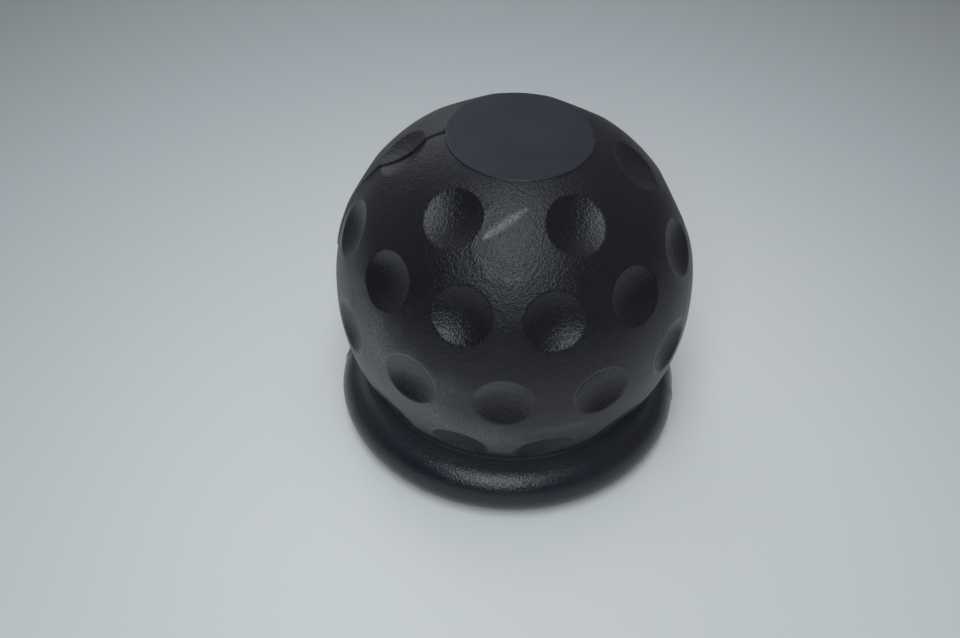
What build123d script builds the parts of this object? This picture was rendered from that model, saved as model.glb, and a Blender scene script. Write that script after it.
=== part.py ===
# Tow ball cover: a soft rubber cap, moulded in one piece, that is pushed over a towbar ball.
# Sizes are in millimetres. The part stands on its collar with the base on the XY plane,
# its axis along +Z and its front towards -Y. The mould parts on the XZ plane.

import os
from math import cos, radians, sin, sqrt

from build123d import *

# Ball body, with a short straight band at its waist
tow_ball_diameter = 50.0
wall_thickness = 10.0
band_height = 2.2
ball_centre_height = 32.4

# Flat round pad on the crown
pad_diameter = 27.2
pad_rise = 0.75
pad_edge_radius = 0.35

# Mouth below the pocket: how much the lip is narrower than the ball, and the flare below it
throat_grip = 7.0
mouth_flare = 6.0
lip_radius = 2.5
mouth_edge_radius = 1.5

# Neck around the mouth, and the rounded collar that stands out from it
neck_wall = 3.5
collar_reach = 7.3
collar_thickness = 10.2
base_flat_depth = 0.4

# Dimples, in level rings on the ball
dimple_diameter = 11.0
dimple_depth = 2.0
dimple_edge_radius = 0.4
ring_pitch_angle = 26.0
crown_ring_count = 6
full_ring_count = 12

# Radii and heights worked out from the sizes above
pocket_radius = tow_ball_diameter / 2
ball_radius = pocket_radius + wall_thickness
crown_centre_height = ball_centre_height + band_height / 2
lower_centre_height = ball_centre_height - band_height / 2
pad_radius = pad_diameter / 2
pad_height = crown_centre_height + sqrt(ball_radius**2 - pad_radius**2) + pad_rise
throat_radius = pocket_radius - throat_grip / 2
throat_height = ball_centre_height - sqrt(pocket_radius**2 - throat_radius**2)
mouth_radius = throat_radius + mouth_flare / 2
neck_radius = mouth_radius + neck_wall
collar_radius = neck_radius + collar_reach
bead_radius = collar_thickness / 2
bead_offset = collar_radius - bead_radius
bead_height = bead_radius - base_flat_depth

# A dimple is a ball-shaped hollow, set so that its rim has the wanted diameter
rim_radius = dimple_diameter / 2
hollow_depth = dimple_depth - (ball_radius - sqrt(ball_radius**2 - rim_radius**2))
hollow_radius = (rim_radius**2 + hollow_depth**2) / (2 * hollow_depth)
hollow_reach = ball_radius + hollow_radius - dimple_depth

# Each ring of dimples: angle from the crown, height of its arc's centre, count and first angle
half_step = 180 / full_ring_count
dimple_rings = (
    (90 - 2 * ring_pitch_angle, crown_centre_height, crown_ring_count, 0),
    (90 - ring_pitch_angle, crown_centre_height, full_ring_count, half_step),
    (90, ball_centre_height, full_ring_count, 0),
    (90 + ring_pitch_angle, lower_centre_height, full_ring_count, half_step),
)

# Sketches are half sections: X is the radius and Y the height
upright = (Align.CENTER, Align.MIN)
from_base_up = (Align.MIN, Align.MIN)
from_base_down = (Align.MIN, Align.MAX)
right_half = (Align.MIN, Align.CENTER)

with BuildPart() as ball_cover:
    # Ball and pad, with the crown taken off level
    with BuildSketch(Plane.XZ) as ball_section:
        with Locations((0, ball_centre_height)):
            SlotCenterToCenter(band_height, 2 * ball_radius, rotation=90)
            Rectangle(pad_diameter, pad_height - ball_centre_height, align=upright)
        Rectangle(ball_radius, 2 * pad_height, align=right_half, mode=Mode.INTERSECT)
        pad_edge = ball_section.vertices().group_by(Axis.Y)[-1].sort_by(Axis.X)[-1]
        fillet(pad_edge, min(pad_edge_radius, pad_rise / 2))
    revolve(axis=Axis.Z)

    # Rings of dimples in the ball
    for angle, centre_height, count, first_angle in dimple_rings:
        ring_offset = hollow_reach * sin(radians(angle))
        ring_height = centre_height + hollow_reach * cos(radians(angle))
        with Locations((0, 0, ring_height)):
            with PolarLocations(ring_offset, count, first_angle):
                Sphere(hollow_radius, mode=Mode.SUBTRACT)

    # Neck and rounded collar
    with BuildSketch(Plane.XZ):
        Rectangle(neck_radius, ball_centre_height, align=from_base_up)
        Rectangle(bead_offset, bead_height, align=from_base_up)
        with Locations((bead_offset, bead_height)):
            Circle(bead_radius)
    revolve(axis=Axis.Z)

    # Softened rims on the dimples, as far as the collar leaves them open
    hollows = ball_cover.faces().filter_by(GeomType.SPHERE).group_by(lambda face: face.radius)[0]
    collar_edges = ball_cover.faces().filter_by(GeomType.TORUS).edges()
    fillet(hollows.edges() - collar_edges, dimple_edge_radius)

    # Level base, flared mouth and pocket for the tow ball, cut as one section past the retaining lip
    with BuildSketch(Plane.XZ) as hollow_section:
        Rectangle(2 * collar_radius, ball_radius, align=from_base_down)
        with BuildLine():
            Polyline(
                (0, 0), (mouth_radius, 0), (throat_radius, throat_height), (0, throat_height), close=True
            )
        make_face()
        with Locations((0, ball_centre_height)):
            Circle(pocket_radius)
        Rectangle(2 * collar_radius, 2 * pad_height, align=right_half, mode=Mode.INTERSECT)
        lip_corner = hollow_section.vertices().sort_by_distance((throat_radius, throat_height))[0]
        fillet(lip_corner, lip_radius)
        mouth_corner = hollow_section.vertices().sort_by_distance((mouth_radius, 0))[0]
        fillet(mouth_corner, mouth_edge_radius)
    revolve(axis=Axis.Z, mode=Mode.SUBTRACT)

ball_cover.part.label = "ball_cover"
os.makedirs("parts", exist_ok=True)
export_step(ball_cover.part, "parts/ball_cover.step")
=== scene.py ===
import math

import bpy
import numpy as np
from mathutils import Matrix, Quaternion, Vector, noise
from mathutils.geometry import delaunay_2d_cdt


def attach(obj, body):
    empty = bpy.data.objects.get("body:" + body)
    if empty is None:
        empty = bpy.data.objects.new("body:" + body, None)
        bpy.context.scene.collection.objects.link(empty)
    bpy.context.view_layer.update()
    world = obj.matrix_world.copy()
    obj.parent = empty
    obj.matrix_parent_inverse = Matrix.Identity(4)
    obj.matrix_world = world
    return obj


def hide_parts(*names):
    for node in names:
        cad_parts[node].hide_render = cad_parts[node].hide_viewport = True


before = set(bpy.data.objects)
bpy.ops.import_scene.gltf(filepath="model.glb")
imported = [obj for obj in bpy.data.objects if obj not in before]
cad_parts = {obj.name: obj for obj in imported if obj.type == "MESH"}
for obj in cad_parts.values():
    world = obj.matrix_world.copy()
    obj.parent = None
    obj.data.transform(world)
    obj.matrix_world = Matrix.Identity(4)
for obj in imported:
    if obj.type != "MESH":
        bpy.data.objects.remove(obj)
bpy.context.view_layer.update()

mm = 0.001

# Rubber cover: sizes in millimetres and degrees, in the CAD frame
cover = {
    "node": "ball_cover",
    "slot": "black_rubber",
    "ballRadius": 35.0,
    "ballHeight": 32.4,
    "bandHalf": 1.1,        # half of the short straight band at the waist
    "padRadius": 13.6,
    "padTop": 66.46,
    "padFoot": 0.2,         # rounding where the pad's wall meets the ball
    "padEdge": 0.3,         # rounding of its upper edge
    "padDrop": 0.55,        # share of its rise that is missing at the front, where it sits lower
    "beadOffset": 30.12,
    "beadHeight": 4.7,
    "beadRadius": 5.1,
    "neckRadius": 28.0,
    "grooveRadius": 0.25,   # roundings at both ends of the short neck above the collar
    "mouthRadius": 24.5,
    "mouthEdge": 1.5,
    "throatRadius": 21.5,
    "lipRadius": 2.5,
    "pocketRadius": 25.0,
    "rimRadius": 5.5,
    "dimpleDepths": (1.45, 1.65, 1.95, 2.0),   # ring by ring, from the crown down
    "rimEdge": 1.1,         # rounding of the dimples' rims
    "ringPitch": 26.0,
    "crownCount": 6,
    "fullCount": 12,
}

# Parting line of the mould: the front half sits a little to the right of the back half
seam = {
    "shift": 0.2,           # half of the mismatch
    "step": 0.05,           # how fast the mismatch comes in, across the line
    "fade": (9.0, 18.0),    # heights between which the mismatch dies out towards the collar
    "leftGroove": (0.3, 0.16),   # depth and half width
    "rightGroove": (0.12, 0.1),
    "padGroove": 0.1,       # share of that depth left on the pad's top
    "padWallGroove": 0.6,   # on its wall
    "collarGroove": 0.3,    # and on the collar's upper side
    "ridge": 0.3,           # soft ridge on the collar, with a shallow dip beside it
    "ridgeAt": (1.2, -3.7),  # how far behind the line it lies on the left and on the right
    "ridgeWidth": (1.2, 5.0),
    "rows": (-0.55, -0.2, -0.07, 0.0, 0.07, 0.2, 0.55),   # mesh rows along the line
    "clear": 0.95,          # other mesh points stay this far away
    "stations": 0.55,       # spacing along the line
    "margin": 0.4,          # kept between those and the ones of a dimple
    "onLine": 0.01,         # a dimple that faces this little forwards or back lies on the line
}

# Mesh spacing, and the slight unevenness of soft rubber
meshing = {
    "ball": 1.0,
    "dimple": 0.72,
    "dimpleClear": 0.55,    # share of the ball's spacing kept free round a dimple
    "fewest": 6,            # points in a dimple's smallest rings
    "hollowRings": 8,
    "rimRings": 5,
    "outerRings": (0.35, 0.85),
    "rimFade": 0.8,         # how far the masks of the rims and hollows fade
    "hollowFade": 0.6,
    "neckClear": 0.35,
    "padColumns": 96,
    "padInset": 0.3,        # from the pad's rounded edge to the first ring of its top
    "padMarks": 0.7,        # spacing of the rows along the parting line there
    "padRings": (0.35, 0.6, 14),   # gap to the first ring, smallest ring, number of rings
    "padSpacing": 0.95,
    "padFewest": 8,
    "collarColumns": 168,
    "baseOuter": (0.3, 1.2),   # rings on the base, from the collar inwards
    "baseInner": (1.6, 0.4),   # and out from the mouth's edge
    "poleGap": 2,           # degrees between the pocket's last ring and its top
    "waveHeight": 0.035,
    "waveLength": 7.0,
}

# Steps along each arc and line of the turned section
arcSteps = {
    "padFoot": 4,
    "padEdge": 6,
    "upperGroove": 3,
    "lowerGroove": 6,
    "bead": 36,
    "mouthEdge": 7,
    "mouthWall": 8,
    "lip": 8,
    "pocket": 34,
}

ballR = cover["ballRadius"]
ballMid = np.array([0.0, 0.0, cover["ballHeight"]])
ballPoint = Vector(ballMid) * mm   # the same in metres
crownZ = cover["ballHeight"] + cover["bandHalf"]
lowerZ = cover["ballHeight"] - cover["bandHalf"]


# Section of one dimple: a round hollow, a rounded rim, then the ball
def dimpleSection(depth):
    hollowDepth = depth - (ballR - math.sqrt(ballR**2 - cover["rimRadius"]**2))
    hollowR = (cover["rimRadius"]**2 + hollowDepth**2) / (2 * hollowDepth)
    hollowReach = ballR + hollowR - depth
    rimR = cover["rimEdge"]
    rimReach = ballR - rimR
    start = math.acos(
        (rimReach**2 + hollowReach**2 - (hollowR + rimR)**2) / (2 * rimReach * hollowReach)
    )  # angle where the rounding leaves the ball
    rimMid = Vector((rimReach * math.sin(start), rimReach * math.cos(start)))
    rimInner = rimMid + rimR * (Vector((0, hollowReach)) - rimMid).normalized()
    end = math.atan2(rimInner.x, rimInner.y)  # angle where it reaches the hollow
    hollowRings, rimRings = meshing["hollowRings"], meshing["rimRings"]
    rings = [end * k / hollowRings for k in range(1, hollowRings)]
    rings += [end + (start - end) * k / rimRings for k in range(rimRings + 1)]
    rings += [start + gap / ballR for gap in meshing["outerRings"]]
    return {"hollowR": hollowR, "hollowReach": hollowReach, "start": start, "end": end, "rings": rings}


def dimpleRadius(angle, section):
    aside = section["hollowReach"] * np.sin(angle)
    hollow = section["hollowReach"] * np.cos(angle)
    hollow = hollow - np.sqrt(np.maximum(section["hollowR"]**2 - aside**2, 0))
    rimR = cover["rimEdge"]
    aside = (ballR - rimR) * np.sin(section["start"] - angle)
    rim = (ballR - rimR) * np.cos(section["start"] - angle)
    rim = rim + np.sqrt(np.maximum(rimR**2 - aside**2, 0))
    return np.where(angle < section["end"], hollow, np.where(angle < section["start"], rim, ballR))


def direction(polar, azimuth):  # azimuth 0 is the front, 90 the right-hand side
    polar, azimuth = np.radians(polar), np.radians(azimuth)
    return np.stack([
        np.sin(polar) * np.sin(azimuth),
        -np.sin(polar) * np.cos(azimuth),
        np.cos(polar) * np.ones_like(azimuth),
    ], -1)


def unit(vectors):
    return vectors / np.linalg.norm(vectors, axis=-1, keepdims=True)


def placeDimples():
    pitch = cover["ringPitch"]
    halfStep = 180 / cover["fullCount"]
    rings = (
        (90 - 2 * pitch, crownZ, cover["crownCount"], 180 / cover["crownCount"]),
        (90 - pitch, crownZ, cover["fullCount"], halfStep),
        (90, cover["ballHeight"], cover["fullCount"], 0),
        (90 + pitch, lowerZ, cover["fullCount"], halfStep),
    )
    spots = []
    for (polar, height, count, first), depth in zip(rings, cover["dimpleDepths"]):
        section = dimpleSection(depth)
        for i in range(count):
            normal = direction(polar, np.float64(first + i * 360 / count))
            spots.append((np.array([0.0, 0.0, height]), normal, section))
    return spots


dimples = placeDimples()
dimpleSpots = np.array([middle + ballR * normal for middle, normal, section in dimples])
widest = max(section["start"] for middle, normal, section in dimples)


def onBall(ways):  # where rays from the ball's middle leave the plain ball, and its normals there
    half = cover["bandHalf"]
    rise = np.abs(ways[:, 2])
    level = np.sqrt(1 - rise**2)
    reach = half * rise + np.sqrt(ballR**2 - (half * level)**2)
    reach = np.where(reach * rise < half, ballR / np.maximum(level, 1e-6), reach)
    points = reach[:, None] * ways
    foot = np.zeros_like(points)
    foot[:, 2] = np.clip(points[:, 2], -half, half)
    return points + ballMid, (points - foot) / ballR


def moulded(ways):  # the same with the dimples sunk in, and the masks of their rims and hollows
    points, normals = onBall(ways)
    radius = np.full(len(ways), ballR)
    rims, hollows = np.zeros(len(ways)), np.zeros(len(ways))
    for spot, (middle, normal, section) in zip(dimpleSpots, dimples):
        chord = np.linalg.norm(points - spot, axis=1)
        angle = 2 * np.arcsin(np.minimum(chord / (2 * ballR), 1))
        radius = np.minimum(radius, dimpleRadius(angle, section))
        rimAt = (section["start"] + section["end"]) / 2
        offRim = np.abs(angle - rimAt) * ballR
        rims = np.maximum(rims, np.clip(1 - offRim / meshing["rimFade"], 0, 1))
        within = (section["start"] - angle) * ballR
        hollows = np.maximum(hollows, np.clip(within / meshing["hollowFade"], 0, 1))
    return points - (ballR - radius)[:, None] * normals, normals, rims, hollows


def parted(points, normals, groove, ridge=0.0):  # adds the parting line and the uneven rubber
    side = points[:, 1]
    left = points[:, 0] < 0
    depth = np.where(left, seam["leftGroove"][0], seam["rightGroove"][0]) * groove
    width = np.where(left, seam["leftGroove"][1], seam["rightGroove"][1])
    lines = depth * np.exp(-(side / width)**2)
    narrow, wide = seam["ridgeWidth"]
    off = side - np.where(left, *seam["ridgeAt"])
    ridges = ridge * (np.exp(-np.abs(off) / narrow) - np.exp(-(off / wide)**2))
    length = meshing["waveLength"]
    waves = np.array([noise.noise(Vector(p) / length) for p in points]) * meshing["waveHeight"]
    moved = points + (ridges + waves - lines)[:, None] * normals
    low, high = seam["fade"]
    share = np.clip((points[:, 2] - low) / (high - low), 0, 1)
    moved[:, 0] -= seam["shift"] * share * np.tanh(side / seam["step"])
    return moved


def columnAngles(count, radius):  # evenly spaced columns, with extra ones along the parting line
    even = np.arange(count) * 360 / count
    offLine = radius * np.abs(np.cos(np.radians(even)))
    angles = list(even[offLine > seam["clear"]])
    for row in seam["rows"]:
        lean = math.degrees(math.asin(row / radius))
        angles += [90 + lean, 270 - lean]
    return np.array(sorted(angles))


vertices = []   # every point of the cover, in millimetres
faces = []
rimMask = []    # 1 on the rounded rims
hollowMask = []  # 1 in the dimples


def addPoints(points, rims=None, hollows=None):
    first = len(vertices)
    vertices.extend(points.tolist())
    rimMask.extend([0.0] * len(points) if rims is None else rims.tolist())
    hollowMask.extend([0.0] * len(points) if hollows is None else hollows.tolist())
    return list(range(first, first + len(points)))


def triangulate(flatPoints, lines):  # triangles over flat points, keeping the given lines
    points = [Vector((float(x), float(y))) for x, y in flatPoints]
    made = delaunay_2d_cdt(points, lines, [], 0, 1e-9)
    if len(made[0]) != len(points):
        raise ValueError("mesh points of the cover coincide or its lines cross")
    source = [origin[0] for origin in made[3]]
    return [[source[i] for i in face] for face in made[2]]


# Ball: rings of points round each dimple, rows along the parting line, and even points between
lowerMid = Vector((0, lowerZ))
beadMid = Vector((cover["beadOffset"], cover["beadHeight"]))
grooveR = cover["grooveRadius"]
grooveReach = cover["neckRadius"] + grooveR
upperGroove = lowerMid + Vector((grooveReach, -math.sqrt((ballR + grooveR)**2 - grooveReach**2)))
lowerGroove = Vector((grooveReach, cover["beadHeight"] + math.sqrt(
    (cover["beadRadius"] + grooveR)**2 - (grooveReach - cover["beadOffset"])**2)))
neckPoint = lowerMid + ballR * (upperGroove - lowerMid).normalized()
neckPolar = math.degrees(math.atan2(neckPoint.x, neckPoint.y - lowerZ))
footReach = cover["padRadius"] + cover["padFoot"]
footMid = Vector((footReach, crownZ + math.sqrt((ballR + cover["padFoot"])**2 - footReach**2)))
footPolar = math.degrees(math.asin(footReach / (ballR + cover["padFoot"])))
footRadius = ballR * math.sin(math.radians(footPolar))
rimAngle = math.degrees(widest)
print("ball from", round(footPolar, 2), "to", round(neckPolar, 2), "degrees, rim", round(rimAngle, 2))

ballWays = []
ballLines = []


def addWays(points):  # points near the ball's skin become directions from its middle
    first = sum(len(block) for block in ballWays)
    ballWays.append(unit(points - ballMid))
    return list(range(first, first + len(points)))


def addLine(row):
    ballLines.extend(zip(row[:-1], row[1:]))


def wayPolar(point):  # the polar angle of a point, seen from the ball's middle
    return math.degrees(math.acos(unit(point - ballMid)[2]))


padAngles = columnAngles(meshing["padColumns"], footRadius)
neckAngles = columnAngles(meshing["collarColumns"], neckPoint.x)
padRow = addWays(ballR * direction(footPolar, padAngles) + [0, 0, crownZ])
neckRow = addWays(ballR * direction(neckPolar, neckAngles) + [0, 0, lowerZ])
addLine(padRow + padRow[:1])
addLine(neckRow + neckRow[:1])

for middle, normal, section in dimples:
    rimCount = round(2 * math.pi * ballR * math.sin(section["start"]) / meshing["dimple"])
    right = unit(np.cross([0.0, 0.0, 1.0], normal))
    over = np.cross(normal, right)
    if abs(normal[1]) >= seam["onLine"]:
        addWays((middle + ballR * normal)[None])
    for angle in section["rings"]:
        count = rimCount
        inHollow = angle < section["end"]
        if inHollow:
            around = 2 * math.pi * ballR * math.sin(angle)
            count = max(meshing["fewest"], round(around / meshing["dimple"]))
        turn = (np.arange(count) + 0.5) * 2 * math.pi / count
        ring = np.cos(angle) * normal + np.sin(angle) * (
            np.cos(turn)[:, None] * right + np.sin(turn)[:, None] * over
        )
        ring = middle + ballR * ring
        keep = np.abs(ring[:, 1]) > seam["clear"]
        keep &= ring[:, 2] > neckPoint.y + meshing["neckClear"]  # the collar cuts into the lowest dimples
        ids = addWays(ring[keep])
        if inHollow:
            continue
        place = {int(k): ids[i] for i, k in enumerate(np.nonzero(keep)[0])}
        for k in place:
            if (k + 1) % count in place:
                ballLines.append((place[k], place[(k + 1) % count]))

# Rows of points along the parting line, closer together where it crosses a rim
onLine = seam["onLine"]
seamDimples = [dimple for dimple in dimples if abs(dimple[1][1]) < onLine and dimple[1][0] > 0]
footWay = wayPolar(ballR * direction(footPolar, np.float64(90)) + [0, 0, crownZ])
neckWay = wayPolar(ballR * direction(neckPolar, np.float64(90)) + [0, 0, lowerZ])
seamLength = math.radians(neckWay - footWay) * ballR
stations = np.linspace(footWay, neckWay, round(seamLength / seam["stations"]) + 1)[1:-1]
margin = math.degrees(seam["margin"] / ballR)
for middle, normal, section in seamDimples:
    polar = math.degrees(math.acos(normal[2]))
    steps = np.degrees([-a for a in section["rings"][::-1]] + [0] + section["rings"])
    crossing = np.array([
        wayPolar(middle + ballR * direction(polar + step, np.float64(90))) for step in steps
    ])
    stations = stations[(stations < crossing[0] - margin) | (stations > crossing[-1] + margin)]
    stations = np.sort(np.concatenate([stations, crossing]))
for side, sign in ((90, 1), (270, -1)):
    for row in seam["rows"]:
        lean = np.degrees(np.arcsin(row / (ballR * np.sin(np.radians(stations)))))
        ids = addWays(ballR * direction(stations, side + sign * lean) + ballMid)
        leanFoot = math.degrees(math.asin(row / footRadius))
        leanNeck = math.degrees(math.asin(row / neckPoint.x))
        start = padRow[int(np.argmin(np.abs(padAngles - side - sign * leanFoot)))]
        end = neckRow[int(np.argmin(np.abs(neckAngles - side - sign * leanNeck)))]
        addLine([start] + ids + [end])

# Even points on the rest of the ball
gap = meshing["ball"]
bands = np.linspace(footWay, neckWay, round(seamLength / gap) + 1)[1:-1]
clearChord = 2 * ballR * math.sin(widest / 2) + meshing["outerRings"][-1] + meshing["dimpleClear"] * gap
for n, polar in enumerate(bands):
    count = round(2 * math.pi * ballR * math.sin(math.radians(polar)) / gap)
    azimuth = (np.arange(count) + 0.5 * (n % 2)) * 360 / count
    points, normals = onBall(direction(np.full(count, polar), azimuth))
    nearest = np.min(np.linalg.norm(points[:, None] - dimpleSpots[None], axis=2), axis=1)
    keep = (nearest > clearChord) & (np.abs(points[:, 1]) > seam["clear"])
    addWays(points[keep])

ways = np.concatenate(ballWays)
skin, skinNormals, rims, hollows = moulded(ways)
ballIds = addPoints(parted(skin, skinNormals, 1.0), rims, hollows)
spread = 2 * ways[:, :2] / (1 + ways[:, 2:3])  # stereographic, so that triangles keep their shape
padSet = set(padRow)
for face in triangulate(spread, ballLines):
    if not all(i in padSet for i in face):
        faces.append([ballIds[i] for i in face])
print("ball", len(ways), "points", len(faces), "triangles")


def addRing(radius, height, angles, normal, groove=0.0, ridge=0.0):  # one level ring of the section
    ring = radius * direction(90, angles) + [0, 0, height]
    outward = normal[0] * direction(90, angles) + [0, 0, normal[1]]
    return addPoints(parted(ring, outward, groove, ridge))


def lowered(points):  # the pad's rise shrinks towards the front
    foot = crownZ + ballR * math.cos(math.radians(footPolar))
    share = np.clip((1 - points[:, 1] / cover["padRadius"]) / 2, 0, 1) * cover["padDrop"]
    moved = points.copy()
    moved[:, 2] -= np.maximum(points[:, 2] - foot, 0) * share
    return moved


def plainRing(radius, height, angles):  # a ring of the hollow, which the parting line doesn't reach
    return addPoints(radius * direction(90, angles) + [0, 0, height])


def joinRings(lower, upper):
    for i in range(len(lower)):
        k = (i + 1) % len(lower)
        faces.append([lower[i], lower[k], upper[k], upper[i]])


def arc(middle, radius, start, end, count):  # points of an arc in the section, both ends included
    turn = np.radians(np.linspace(start, end, count + 1))
    normals = [(math.cos(a), math.sin(a)) for a in turn]
    return [(middle[0] + radius * nx, middle[1] + radius * nz, nx, nz) for nx, nz in normals]


# Pad on the crown: a low upright wall with a softened edge, and a level top
edgeMid = (cover["padRadius"] - cover["padEdge"], cover["padTop"] - cover["padEdge"])
footArc = arc(footMid, cover["padFoot"], 270 - footPolar, 180, arcSteps["padFoot"])[1:]
padSection = [(r, z, -nx, -nz) for r, z, nx, nz in footArc]
padSection += arc(edgeMid, cover["padEdge"], 0, 90, arcSteps["padEdge"])
padSection.append((edgeMid[0] - meshing["padInset"], cover["padTop"], 0, 1))
lower = [ballIds[i] for i in padRow]
for r, z, nx, nz in padSection:
    ring = lowered(r * direction(90, padAngles) + [0, 0, z])
    outward = nx * direction(90, padAngles) + [0, 0, nz]
    upper = addPoints(parted(ring, outward, seam["padWallGroove"]))
    joinRings(lower, upper)
    lower = upper

topRadius = padSection[-1][0]
topPoints = [direction(90, padAngles)[:, :2] * topRadius]
edgeRow = list(range(len(padAngles)))
topLines = list(zip(edgeRow, edgeRow[1:] + edgeRow[:1]))
total = len(edgeRow)
markGap = meshing["padMarks"]
for row in seam["rows"]:
    reach = math.sqrt(topRadius**2 - row**2)
    marks = np.arange(-reach + markGap, reach - markGap + 0.01, markGap)  # the last one counts too
    topPoints.append(np.stack([marks, np.full(len(marks), row)], 1))
    ids = list(range(total, total + len(marks)))
    total += len(marks)
    ends = [int(np.argmin(np.hypot(*(topPoints[0] - [side * reach, row]).T))) for side in (-1, 1)]
    chain = [ends[0]] + ids + [ends[1]]
    topLines += list(zip(chain[:-1], chain[1:]))
edgeGap, smallest, ringCount = meshing["padRings"]
for n, r in enumerate(np.linspace(topRadius - edgeGap, smallest, ringCount)):
    count = max(meshing["padFewest"], round(2 * math.pi * r / meshing["padSpacing"]))
    turn = (np.arange(count) + 0.5 * (n % 2)) * 360 / count
    ring = direction(90, turn)[:, :2] * r
    topPoints.append(ring[np.abs(ring[:, 1]) > seam["clear"]])
flatTop = np.concatenate(topPoints)
inner = flatTop[len(edgeRow):]
top = np.concatenate([inner, np.full((len(inner), 1), cover["padTop"])], 1)
upward = np.tile([0.0, 0.0, 1.0], (len(top), 1))
topIds = lower + addPoints(parted(lowered(top), upward, seam["padGroove"]))
for face in triangulate(flatTop, topLines):
    faces.append([topIds[i] for i in face])
print("pad done,", len(vertices), "points so far")

# Groove, collar, base, mouth, lip and pocket: one section turned round the axis
mouthWay = Vector((cover["throatRadius"] - cover["mouthRadius"],
                   cover["ballHeight"] - math.sqrt(cover["pocketRadius"]**2 - cover["throatRadius"]**2)))
mouthWay.normalize()
mouthOut = Vector((mouthWay.y, -mouthWay.x))   # from the mouth's wall into the rubber
mouthFoot = Vector((cover["mouthRadius"], 0))
edgeFoot = mouthFoot + cover["mouthEdge"] * mouthOut
mouthMid = edgeFoot + mouthWay * ((cover["mouthEdge"] - edgeFoot.y) / mouthWay.y)
lipFoot = mouthFoot + cover["lipRadius"] * mouthOut - Vector((0, cover["ballHeight"]))
lipReach = cover["pocketRadius"] + cover["lipRadius"]
lean = lipFoot.dot(mouthWay)
lipStep = -lean - math.sqrt(lean**2 - lipFoot.length_squared + lipReach**2)
lipMid = lipFoot + lipStep * mouthWay + Vector((0, cover["ballHeight"]))
pocketMid = Vector((0, cover["ballHeight"]))
toPocket = (pocketMid - lipMid).normalized()
mouthTurn = math.degrees(math.atan2(-mouthOut.y, -mouthOut.x)) % 360
lipTurn = math.degrees(math.atan2(toPocket.y, toPocket.x))
grooveTop = math.degrees(math.atan2(neckPoint.y - upperGroove.y, neckPoint.x - upperGroove.x))
touch = beadMid - lowerGroove
grooveLow = math.degrees(math.atan2(touch.y, touch.x)) % 360
beadEnd = -math.degrees(math.asin(cover["beadHeight"] / cover["beadRadius"]))

groove = arc(upperGroove, grooveR, grooveTop, 180, arcSteps["upperGroove"])[1:]
groove += arc(lowerGroove, grooveR, 180, grooveLow, arcSteps["lowerGroove"])[:-1]
outside = [(r, z, -nx, -nz) for r, z, nx, nz in groove]
outside += arc(beadMid, cover["beadRadius"], grooveLow - 180, beadEnd, arcSteps["bead"])
lower = [ballIds[i] for i in neckRow]
for r, z, nx, nz in outside:
    grooveShare = seam["collarGroove"] * max(0.0, nz)
    ring = addRing(r, z, neckAngles, (nx, nz), grooveShare, seam["ridge"] * max(0.0, nx)**2)
    joinRings(ring, lower)
    lower = ring

baseOuter = outside[-1][0]
inside = [(baseOuter - step, 0) for step in meshing["baseOuter"]]
inside += [(mouthMid.x + step, 0) for step in meshing["baseInner"]]
wallStart = mouthMid - cover["mouthEdge"] * mouthOut
wallEnd = lipMid - cover["lipRadius"] * mouthOut
wallSteps = arcSteps["mouthWall"]
pocketStart = math.degrees(math.atan2(lipMid.y - pocketMid.y, lipMid.x - pocketMid.x))
pocketEnd = 90 - meshing["poleGap"]
mouthArc = arc(mouthMid, cover["mouthEdge"], 270, mouthTurn, arcSteps["mouthEdge"])
lipArc = arc(lipMid, cover["lipRadius"], mouthTurn, lipTurn, arcSteps["lip"])
pocketArc = arc(pocketMid, cover["pocketRadius"], pocketStart, pocketEnd, arcSteps["pocket"])
inside += [(r, z) for r, z, nx, nz in mouthArc]
inside += [tuple(wallStart.lerp(wallEnd, k / wallSteps)) for k in range(1, wallSteps)]
inside += [(r, z) for r, z, nx, nz in lipArc + pocketArc[1:]]
for r, z in inside:
    ring = plainRing(r, z, neckAngles)
    joinRings(ring, lower)
    lower = ring
pole = addPoints(np.array([[0.0, 0.0, cover["ballHeight"] + cover["pocketRadius"]]]))[0]
for i in range(len(lower)):
    faces.append([pole, lower[(i + 1) % len(lower)], lower[i]])
print("collar and hollow done,", len(vertices), "points", len(faces), "faces")

coverMesh = bpy.data.meshes.new("dimpledCover")
standing = np.maximum(np.array(vertices), [-np.inf, -np.inf, 0])  # nothing below the base
coverMesh.from_pydata((standing * mm).tolist(), [], faces)
coverMesh.validate()
coverMesh.polygons.foreach_set("use_smooth", np.ones(len(coverMesh.polygons), dtype=bool))
for name, values in (("rimMask", rimMask), ("hollowMask", hollowMask)):
    mask = coverMesh.attributes.new(name, "FLOAT", "POINT")
    mask.data.foreach_set("value", np.array(values, dtype=np.float32))
coverMesh.update()
coverPiece = bpy.data.objects.new("dimpledCover", coverMesh)
bpy.context.collection.objects.link(coverPiece)
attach(coverPiece, "root")
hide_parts(cover["node"])
print("cover mesh", len(coverMesh.vertices), "points", len(coverMesh.polygons), "faces")


def linear(value):  # one sRGB channel, 0 to 255, as Blender's linear value
    value = value / 255
    return value / 12.92 if value <= 0.04045 else ((value + 0.055) / 1.055)**2.4


def tone(red, green, blue):
    return (linear(red), linear(green), linear(blue), 1)


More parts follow.
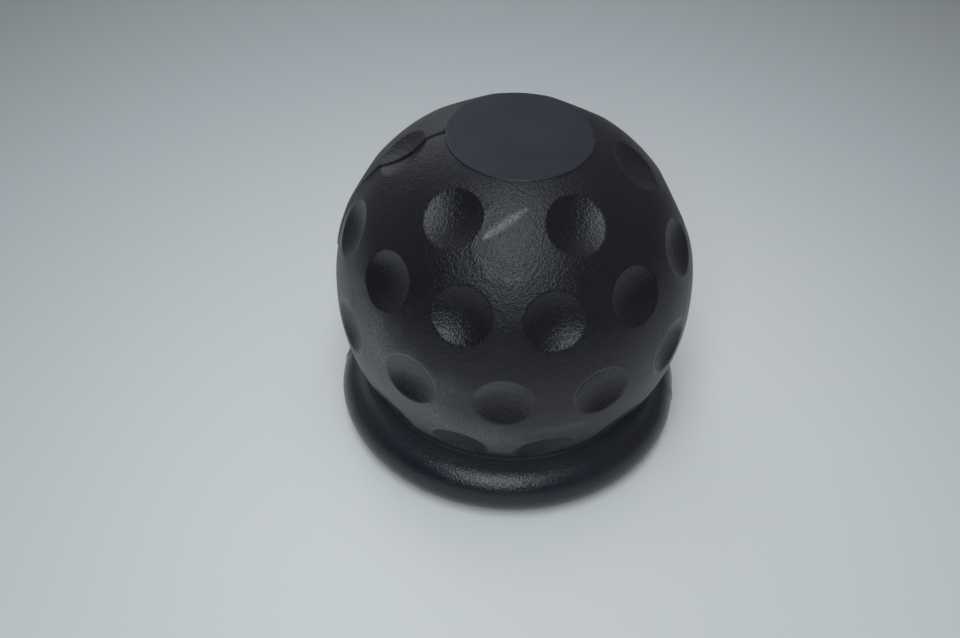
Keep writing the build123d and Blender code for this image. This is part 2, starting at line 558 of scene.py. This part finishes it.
# Rubber finish: near black with a moulded grain, a bluish bloom on the pad and the collar, grey dust with
# painted sheen low on the ball, painted light in the groove, and one scuff with a painted glint; places,
# heights and widths are in millimetres
rubber = {
    "dark": (0.0026, 0.0022, 0.0042, 1),
    "pale": (0.0085, 0.0076, 0.0118, 1),
    "speckle": (0.38, 0.62),                  # noise values between which the two mix
    "speckleBroad": 0.3,                      # share of the broad noise in it, the rest is fine
    "ior": 1.5,
    "collarTop": (11.0, 9.6),                 # heights where the collar's finish comes in
    "padFoot": (65.75, 65.95),                # and where the pad's does
    "padBloom": (0.0175, 0.0225, 0.033, 1),
    "collarBloom": (0.013, 0.0165, 0.0225, 1),
    "bloomShares": (0.6, 1.0),
    "noiseMiddle": (0.3, 0.7),                # where most values of a noise lie
    "noiseWide": (0.2, 0.8),
    "noiseNarrow": (0.36, 0.64),
    "cellScale": 1400,                        # per metre: cells of about 0.7 mm
    "cellReach": 0.75,
    "fineScale": 2900,
    "creaseScale": 520,
    "broadScale": 130,
    "grainDepth": 0.00012,                    # metres
    "pebbleShare": 0.3,                       # of the cells and of the creases
    "collarPebbles": 0.08,                    # what is left of them on the collar
    "fineShares": (0.95, 0.85),               # fine grain on the ball and on the collar
    "padGrain": 0.4,                          # what is left of the grain on the pad
    "flowMiddle": (0.4, -22.9, 59.95),        # a curved flow mark of the mould round this point
    "flowRadius": 7.0,
    "flowWidth": 1.7,
    "flowEnd": (62, 57),                      # it dies out to the upper right, by X plus height
    "flowGrain": 0.7,
    "flowGloss": 0.08,
    # a scuff line on the ball, with a painted glint along it
    "scuffFrom": (-4.6, -22.3, 60.0),
    "scuffTo": (2.1, -18.2, 63.3),
    "scuffWidth": 1.25,
    "scuffThickest": 0.45,                    # share of its length
    "scuffTaper": (0.25, 0.55, 1.0, 0.35),    # from and to, and the widths there
    "scuffBreaks": (0.38, 0.6, 0.1, 1.0),     # values of the fine noise, and the strengths there
    "scuffGlintColour": (0.24, 0.25, 0.255, 1),
    "dustScale": 150,
    "dustSize": 0.024,
    "dustRarity": 0.68,                       # share of the cells without a speck
    "dustShares": (0.15, 0.9),
    "dustColour": (0.42, 0.44, 0.46, 1),
    "dustAndSheen": (0.16, 0.164, 0.173, 1),       # grey dust and painted sheen of the pale floor, where the ball looks down and up its left side
    "dustAndSheenLean": 0.67,                      # how much further up it comes on the left
    "dustAndSheenFrom": (-0.04, -0.46),            # the normal's Z where it starts and where it is full
    "dustAndSheenUneven": 0.12,
    "dustAndSheenHollow": 0.5,                     # share left in the dimples
    "dustAndSheenBreaks": (0.2, 0.5),              # least strength between the grains, ball and dimples
    "dustAndSheenMost": 1.05,
    "lowDimples": (24, 17),                   # heights where painted light comes into the lowest dimples, which the collar shades
    "lowDimpleLight": 0.45,
    "grooveShadeFade": (10.5, 15.5),            # it fades towards the groove: painted shade from the collar
    "grooveShadeShare": 0.2,
    "outerSkin": (29, 31),                    # distances from the ball's middle: none in the pocket
    "patchBottom": (22.3, 24.3),              # a ragged dry patch on the right of the front
    "patchTop": (26.0, 25.2),
    "patchLeft": (1.5, 6.5),
    "patchRight": (17.0, 14.0),
    "patchFront": -20,
    "patchRagged": 0.7,
    "patchStrength": 0.3,
    "grooveLight": (0.046, 0.049, 0.057, 1),   # painted light on the collar's inner slope, which the ball's overhang shades
    "grooveReach": (32.6, 30.4),
    "grooveBottom": (7.0, 8.0),
    "grooveTop": (13.0, 11.0),
    "grooveBreaks": (0.55, 1.0),
    "ballRoughness": 0.37,
    "hollowRoughness": 0.28,
    "collarRoughness": 0.13,
    "roughnessSpread": 0.1,
    "spreadBroad": 0.6,
    "rimGloss": 0.03,
    "dryRoughness": 0.15,                     # added by the scuff and the dust
    "neckReach": (30.5, 29.3),                # dull in the groove above the collar
    "neckHeights": (12.5, 11.0),
    "neckRoughness": 0.8,
}


class Nodes:  # short hand for laying out one material
    def __init__(self, name):
        self.material = bpy.data.materials.new(name)
        self.material.use_nodes = True
        self.tree = self.material.node_tree
        self.tree.nodes.clear()

    def add(self, kind, inputs=None, **settings):
        node = self.tree.nodes.new(kind)
        for key, value in settings.items():
            setattr(node, key, value)
        for key, value in (inputs or {}).items():
            self.put(node.inputs[key], value)
        return node

    def put(self, socket, value):
        if isinstance(value, bpy.types.NodeSocket):
            self.tree.links.new(value, socket)
        else:
            socket.default_value = value

    def math(self, operation, first, second=0.0, clamp=False):
        node = self.add("ShaderNodeMath", {0: first, 1: second}, operation=operation, use_clamp=clamp)
        return node.outputs[0]

    def vector(self, operation, first, second):
        return self.add("ShaderNodeVectorMath", {0: first, 1: second}, operation=operation)

    def fit(self, value, low, high, start=0.0, end=1.0, smooth=False):
        node = self.add("ShaderNodeMapRange", {
            "Value": value, "From Min": low, "From Max": high, "To Min": start, "To Max": end,
        }, interpolation_type="SMOOTHSTEP" if smooth else "LINEAR")
        return node.outputs["Result"]

    def span(self, value, limits, start=0.0, end=1.0, smooth=False):  # limits in millimetres
        return self.fit(value, limits[0] * mm, limits[1] * mm, start, end, smooth)

    def blend(self, mask, first, second):
        return self.fit(mask, 0.0, 1.0, first, second)

    def times(self, first, *others):
        for other in others:
            first = self.math("MULTIPLY", first, other)
        return first

    def hypot(self, first, second):
        return self.math("SQRT", self.math("ADD", self.times(first, first), self.times(second, second)))

    def mix(self, factor, first, second):
        node = self.add("ShaderNodeMix", data_type="RGBA")
        self.put(node.inputs[0], factor)
        self.put(node.inputs[6], first)
        self.put(node.inputs[7], second)
        return node.outputs[2]


def makeRubber():
    n = Nodes("blackRubber")
    place = n.add("ShaderNodeTexCoord").outputs["Object"]
    rims = n.add("ShaderNodeAttribute", attribute_name="rimMask").outputs["Fac"]
    hollow = n.add("ShaderNodeAttribute", attribute_name="hollowMask").outputs["Fac"]
    axes = n.add("ShaderNodeSeparateXYZ", {"Vector": place}).outputs

    cells = n.add("ShaderNodeTexVoronoi", {
        "Vector": place, "Scale": rubber["cellScale"], "Smoothness": 0.6,
    }, feature="SMOOTH_F1").outputs["Distance"]
    fine = n.add("ShaderNodeTexNoise", {
        "Vector": place, "Scale": rubber["fineScale"], "Detail": 2.0, "Roughness": 0.6,
    }).outputs["Fac"]
    crease = n.add("ShaderNodeTexNoise", {
        "Vector": place, "Scale": rubber["creaseScale"], "Detail": 2.0, "Distortion": 0.6,
    }).outputs["Fac"]
    broad = n.add("ShaderNodeTexNoise", {
        "Vector": place, "Scale": rubber["broadScale"], "Detail": 3.0,
    }).outputs["Fac"]

    # Where the collar and the pad are
    height = axes["Z"]
    reach = n.hypot(axes["X"], axes["Y"])
    collar = n.span(height, rubber["collarTop"], smooth=True)
    pad = n.span(height, rubber["padFoot"], smooth=True)

    # Moulded grain: pebbles of about a millimetre on the ball, with a finer grain over everything
    pebbles = n.times(n.fit(cells, 0.0, rubber["cellReach"]), rubber["pebbleShare"])
    pebbles = n.math("ADD", pebbles, n.times(crease, rubber["pebbleShare"]))
    pebbles = n.times(pebbles, n.blend(collar, 1.0, rubber["collarPebbles"]))
    grain = n.math("ADD", pebbles, n.times(fine, n.blend(collar, *rubber["fineShares"])))
    grain = n.times(grain, n.blend(pad, 1.0, rubber["padGrain"]))
    fromFlow = n.vector("DISTANCE", place, Vector(rubber["flowMiddle"]) * mm).outputs["Value"]
    offRing = n.math("ABSOLUTE", n.math("SUBTRACT", fromFlow, rubber["flowRadius"] * mm))
    flow = n.span(offRing, (rubber["flowWidth"], 0.0), smooth=True)
    flow = n.times(flow, n.span(n.math("ADD", axes["X"], height), rubber["flowEnd"], smooth=True))
    grain = n.math("ADD", grain, n.times(crease, flow, rubber["flowGrain"]))
    bump = n.add("ShaderNodeBump", {"Strength": 1.0, "Distance": rubber["grainDepth"], "Height": grain})

    # Scuff with a painted glint along it: the distance to a short line on the ball, broken up by the
    # grain
    start = Vector(rubber["scuffFrom"]) * mm
    run = Vector(rubber["scuffTo"]) * mm - start
    offset = n.vector("SUBTRACT", place, start).outputs["Vector"]
    along = n.vector("DOT_PRODUCT", offset, run).outputs["Value"]
    share = n.math("DIVIDE", along, run.length_squared, True)
    scaled = n.add("ShaderNodeVectorMath", {0: run, "Scale": share}, operation="SCALE").outputs["Vector"]
    away = n.vector("DISTANCE", offset, scaled).outputs["Value"]
    fromThickest = n.math("ABSOLUTE", n.math("SUBTRACT", share, rubber["scuffThickest"]))
    width = n.times(n.fit(fromThickest, *rubber["scuffTaper"]), rubber["scuffWidth"] * mm)
    scuffGlint = n.fit(n.math("DIVIDE", away, width), 1.0, 0.0, 0.0, 1.0, True)
    scuffGlint = n.math("MULTIPLY", scuffGlint, n.fit(fine, *rubber["scuffBreaks"]), True)

    # Dust: a few pale specks
    dustCells = n.add("ShaderNodeTexVoronoi", {"Vector": place, "Scale": rubber["dustScale"]})
    pick = n.add("ShaderNodeSeparateColor", {"Color": dustCells.outputs["Color"]})
    size = n.times(n.fit(pick.outputs["Red"], rubber["dustRarity"], 1.0), rubber["dustSize"])
    dust = n.math("LESS_THAN", dustCells.outputs["Distance"], size)
    dust = n.times(dust, n.blend(pick.outputs["Green"], *rubber["dustShares"]))

    # Grey dust and painted floor sheen on the outside of the ball, where it looks down and up its left
    # side, and painted light in its lowest dimples
    normal = n.add("ShaderNodeNewGeometry").outputs["Normal"]
    facing = n.add("ShaderNodeSeparateXYZ", {"Vector": normal}).outputs["Z"]
    leaning = n.math("ADD", facing, n.times(axes["X"], rubber["dustAndSheenLean"] / (ballR * mm)))
    uneven = rubber["dustAndSheenUneven"]
    leaning = n.math("ADD", leaning, n.fit(broad, *rubber["noiseWide"], -uneven, uneven))
    dustAndSheen = n.fit(leaning, *rubber["dustAndSheenFrom"], 0.0, 1.0, True)
    dustAndSheen = n.times(dustAndSheen, n.blend(hollow, 1.0, rubber["dustAndSheenHollow"]))
    # painted light in the lowest dimples, lifting the collar's shade there
    dustAndSheen = n.math("MAXIMUM", dustAndSheen, n.span(height, rubber["lowDimples"], 0.0, rubber["lowDimpleLight"]))

    # A ragged dry patch on the front is added, and the dust and painted sheen is held back where it
    # doesn't lie
    rag = rubber["patchRagged"] * mm
    ragged = n.math("ADD", height, n.fit(crease, *rubber["noiseMiddle"], -rag, rag))
    patch = n.times(
        n.span(ragged, rubber["patchBottom"]),
        n.span(ragged, rubber["patchTop"]),
        n.span(axes["X"], rubber["patchLeft"]),
        n.span(axes["X"], rubber["patchRight"]),
        n.math("LESS_THAN", axes["Y"], rubber["patchFront"] * mm),
        n.blend(hollow, 1.0, 0.0),
        rubber["patchStrength"],
    )
    least = n.blend(hollow, *rubber["dustAndSheenBreaks"])
    outward = n.vector("DISTANCE", place, ballPoint).outputs["Value"]
    # towards the groove the grey fades, as painted shade from the collar
    dustAndSheen = n.times(
        n.math("ADD", dustAndSheen, patch),
        n.span(height, rubber["grooveShadeFade"], rubber["grooveShadeShare"], 1.0),
        n.fit(fine, *rubber["noiseNarrow"], least, rubber["dustAndSheenMost"]),
        n.span(outward, rubber["outerSkin"]),
        n.blend(collar, 1.0, 0.0),
    )

    # Painted light in the groove, on the collar's inner slope under the ball
    grooveLightMask = n.times(
        n.span(reach, rubber["grooveReach"], smooth=True),
        n.span(height, rubber["grooveBottom"]),
        n.span(height, rubber["grooveTop"]),
        n.fit(fine, *rubber["noiseNarrow"], *rubber["grooveBreaks"]),
    )

    def mixture(share):  # the broad noise and the fine one together
        return n.math("ADD", n.times(broad, share), n.times(fine, 1 - share))

    speckle = n.fit(mixture(rubber["speckleBroad"]), *rubber["speckle"])
    bloom = n.fit(broad, *rubber["noiseMiddle"], *rubber["bloomShares"])
    colour = n.mix(speckle, rubber["dark"], rubber["pale"])
    colour = n.mix(n.times(bloom, pad), colour, rubber["padBloom"])
    colour = n.mix(n.times(bloom, collar), colour, rubber["collarBloom"])
    # painted light in the groove
    colour = n.mix(grooveLightMask, colour, rubber["grooveLight"])
    # grey dust with painted floor sheen
    colour = n.mix(dustAndSheen, colour, rubber["dustAndSheen"])
    # the scuff's painted glint
    colour = n.mix(scuffGlint, colour, rubber["scuffGlintColour"])
    colour = n.mix(dust, colour, rubber["dustColour"])

    rough = n.blend(hollow, rubber["ballRoughness"], rubber["hollowRoughness"])
    rough = n.add("ShaderNodeMix", {0: collar, 2: rough, 3: rubber["collarRoughness"]}).outputs[0]
    half = rubber["roughnessSpread"] / 2
    spread = n.fit(mixture(rubber["spreadBroad"]), *rubber["noiseMiddle"], -half, half)
    rough = n.math("ADD", rough, spread)
    rough = n.math("SUBTRACT", rough, n.times(rims, rubber["rimGloss"]))
    rough = n.math("SUBTRACT", rough, n.times(flow, rubber["flowGloss"]))
    dry = n.times(n.math("MAXIMUM", scuffGlint, dustAndSheen), rubber["dryRoughness"])
    rough = n.math("ADD", rough, dry, True)
    neck = n.times(n.span(reach, rubber["neckReach"]), n.span(height, rubber["neckHeights"]))
    rough = n.math("MAXIMUM", rough, n.times(neck, rubber["neckRoughness"]))

    shader = n.add("ShaderNodeBsdfPrincipled", {
        "Base Color": colour,
        "Roughness": rough,
        "Normal": bump.outputs["Normal"],
        "IOR": rubber["ior"],
    })
    n.add("ShaderNodeOutputMaterial", {"Surface": shader.outputs["BSDF"]})
    return n.material


coverMesh.materials.append(makeRubber())
print("rubber finish done")

# Pale sheet under the cover, with painted light: lightest round the cover and darker away from it; sizes
# in metres
floor = {
    "size": 12.0,
    "near": tone(248, 245, 240),
    "middle": tone(203, 205, 202),
    "far": tone(143, 146, 143),
    "middleAt": (0.001, -0.017),
    "reach": (0.036, 0.164, 0.29),   # distances where it has these three tones
    "sideStretch": 1.15,    # the painted light falls off faster to the sides
    "rampSpan": 0.5,        # distance that the whole colour ramp covers
    "paperScale": 900,
    "paperStrength": 0.15,
    "paperDepth": 0.00002,
    "roughness": 0.75,
}


def makeFloor():
    half = floor["size"] / 2
    corners = [(-half, -half, 0), (half, -half, 0), (half, half, 0), (-half, half, 0)]
    mesh = bpy.data.meshes.new("floorSheet")
    mesh.from_pydata(corners, [], [(0, 1, 2, 3)])
    sheet = bpy.data.objects.new("floorSheet", mesh)
    bpy.context.collection.objects.link(sheet)
    n = Nodes("paleSheet")
    place = n.add("ShaderNodeTexCoord").outputs["Object"]
    offset = n.vector("SUBTRACT", place, (*floor["middleAt"], 0)).outputs["Vector"]
    sides = n.add("ShaderNodeSeparateXYZ", {"Vector": offset}).outputs
    away = n.hypot(n.times(sides["X"], floor["sideStretch"]), sides["Y"])
    # painted pool of light: the sheet's tone falls off with distance from the cover
    ramp = n.add("ShaderNodeValToRGB", {"Fac": n.fit(away, 0.0, floor["rampSpan"])})
    stops = ramp.color_ramp.elements
    near, middle, far = (reach / floor["rampSpan"] for reach in floor["reach"])
    stops[0].position, stops[0].color = near, floor["near"]
    stops[1].position, stops[1].color = far, floor["far"]
    stops.new(middle).color = floor["middle"]
    paper = n.add("ShaderNodeTexNoise", {
        "Vector": place, "Scale": floor["paperScale"], "Detail": 3.0,
    }).outputs["Fac"]
    bump = n.add("ShaderNodeBump", {
        "Strength": floor["paperStrength"], "Distance": floor["paperDepth"], "Height": paper,
    })
    shader = n.add("ShaderNodeBsdfPrincipled", {
        "Base Color": ramp.outputs["Color"],
        "Roughness": floor["roughness"],
        "Normal": bump.outputs["Normal"],
    })
    n.add("ShaderNodeOutputMaterial", {"Surface": shader.outputs["BSDF"]})
    mesh.materials.append(n.material)


makeFloor()
print("floor done")

# Lamps: where each one stands seen from the ball's middle, its size in metres, power and colour
lamps = {
    "frontBox": {
        "azimuth": -6.5, "elevation": 60.5, "distance": 0.62, "roll": 4,
        "size": (0.27, 0.62), "power": 1.8, "colour": (0.87, 1.0, 1.05),
    },
    "frontCore": {
        "azimuth": -1, "elevation": 37, "distance": 0.6, "roll": 0,
        "size": (0.08, 0.2), "power": 0.28, "colour": (0.86, 1.0, 1.03),
    },
    "topPanel": {
        "azimuth": 0, "elevation": 89, "distance": 0.8, "roll": 0,
        "size": (0.6, 0.6), "power": 0.4, "colour": (0.92, 1.0, 1.05),
    },
    "backBox": {
        "azimuth": 180, "elevation": 48, "distance": 0.9, "roll": 0,
        "size": (1.2, 0.9), "power": 0.44, "colour": (0.66, 0.8, 1.0),
    },
    "leftCard": {
        "azimuth": -152, "elevation": 27, "distance": 0.7, "roll": 0,
        "size": (0.4, 0.58), "power": 0.5, "colour": (0.88, 0.95, 1.03),
    },
}


def placeAt(azimuth, elevation, distance):
    a, e = math.radians(azimuth), math.radians(elevation)
    toward = Vector((math.sin(a) * math.cos(e), -math.cos(a) * math.cos(e), math.sin(e)))
    return ballPoint + distance * toward


for name, lamp in lamps.items():
    light = bpy.data.lights.new(name, "AREA")
    light.shape = "RECTANGLE"
    light.size, light.size_y = lamp["size"]
    light.energy = lamp["power"]
    light.color = lamp["colour"]
    holder = bpy.data.objects.new(name, light)
    holder.location = placeAt(lamp["azimuth"], lamp["elevation"], lamp["distance"])
    facing = (ballPoint - holder.location).to_track_quat("-Z", "Y")
    holder.rotation_euler = (facing @ Quaternion((0, 0, 1), math.radians(lamp["roll"]))).to_euler()
    bpy.context.collection.objects.link(holder)

# Room light: one even level, with two darker patches and a lighter one
room = {
    "level": 0.22,
    "colour": (0.94, 0.92, 1.06, 1),
    "patches": (            # way, cosines of the angle from it, and how much the level changes
        ((-0.82, -0.57, 0.0), (0.5, 0.95), -0.13),
        ((-0.9, 0.43, 0.1), (0.55, 0.95), 0.08),
        ((0.25, -0.97, 0.05), (0.7, 0.98), -0.09),
    ),
}
world = bpy.data.worlds.new("room")
bpy.context.scene.world = world
world.use_nodes = True
nodes, links = world.node_tree.nodes, world.node_tree.links
way = nodes.new("ShaderNodeTexCoord").outputs["Generated"]
level = None
for toward, spread, change in room["patches"]:
    lean = nodes.new("ShaderNodeVectorMath")
    lean.operation = "DOT_PRODUCT"
    lean.inputs[1].default_value = toward
    links.new(way, lean.inputs[0])
    step = nodes.new("ShaderNodeMapRange")
    step.interpolation_type = "SMOOTHSTEP"
    for key, value in zip(("From Min", "From Max", "To Min", "To Max"), (*spread, 0.0, change)):
        step.inputs[key].default_value = value
    links.new(lean.outputs["Value"], step.inputs["Value"])
    total = nodes.new("ShaderNodeMath")
    total.inputs[0].default_value = room["level"]
    if level:
        links.new(level, total.inputs[0])
    links.new(step.outputs["Result"], total.inputs[1])
    level = total.outputs[0]
nodes["Background"].inputs["Color"].default_value = room["colour"]
links.new(level, nodes["Background"].inputs["Strength"])
print("lamps done")

# Camera as the photograph has it: round the ball's middle, then turned a little off it
view = {
    "azimuth": 1.1,
    "elevation": 40.85,
    "distance": 0.23913,
    "yaw": 1.46,
    "pitch": -2.11,
    "roll": -2.76,
    "lens": 45.0,
    "sensorWidth": 36,
    "clipStart": 0.01,
}


def makeCamera():
    eye = placeAt(view["azimuth"], view["elevation"], view["distance"])
    ahead = (ballPoint - eye).normalized()
    turn = math.radians(view["azimuth"])
    right = Vector((math.cos(turn), math.sin(turn), 0))
    up = right.cross(ahead)
    spin = Matrix.Rotation(math.radians(view["yaw"]), 3, up)
    ahead, right = spin @ ahead, spin @ right
    spin = Matrix.Rotation(math.radians(view["pitch"]), 3, right)
    ahead, up = spin @ ahead, spin @ up
    spin = Matrix.Rotation(math.radians(view["roll"]), 3, ahead)
    right, up = spin @ right, spin @ up
    camera = bpy.data.objects.new("camera", bpy.data.cameras.new("camera"))
    camera.data.lens = view["lens"]
    camera.data.sensor_width = view["sensorWidth"]
    camera.data.clip_start = view["clipStart"]
    facing = Matrix((right, up, -ahead)).transposed().to_4x4()
    camera.matrix_world = Matrix.Translation(eye) @ facing
    bpy.context.collection.objects.link(camera)
    bpy.context.scene.camera = camera


makeCamera()
bpy.context.scene.view_settings.view_transform = "Standard"
print("camera done")
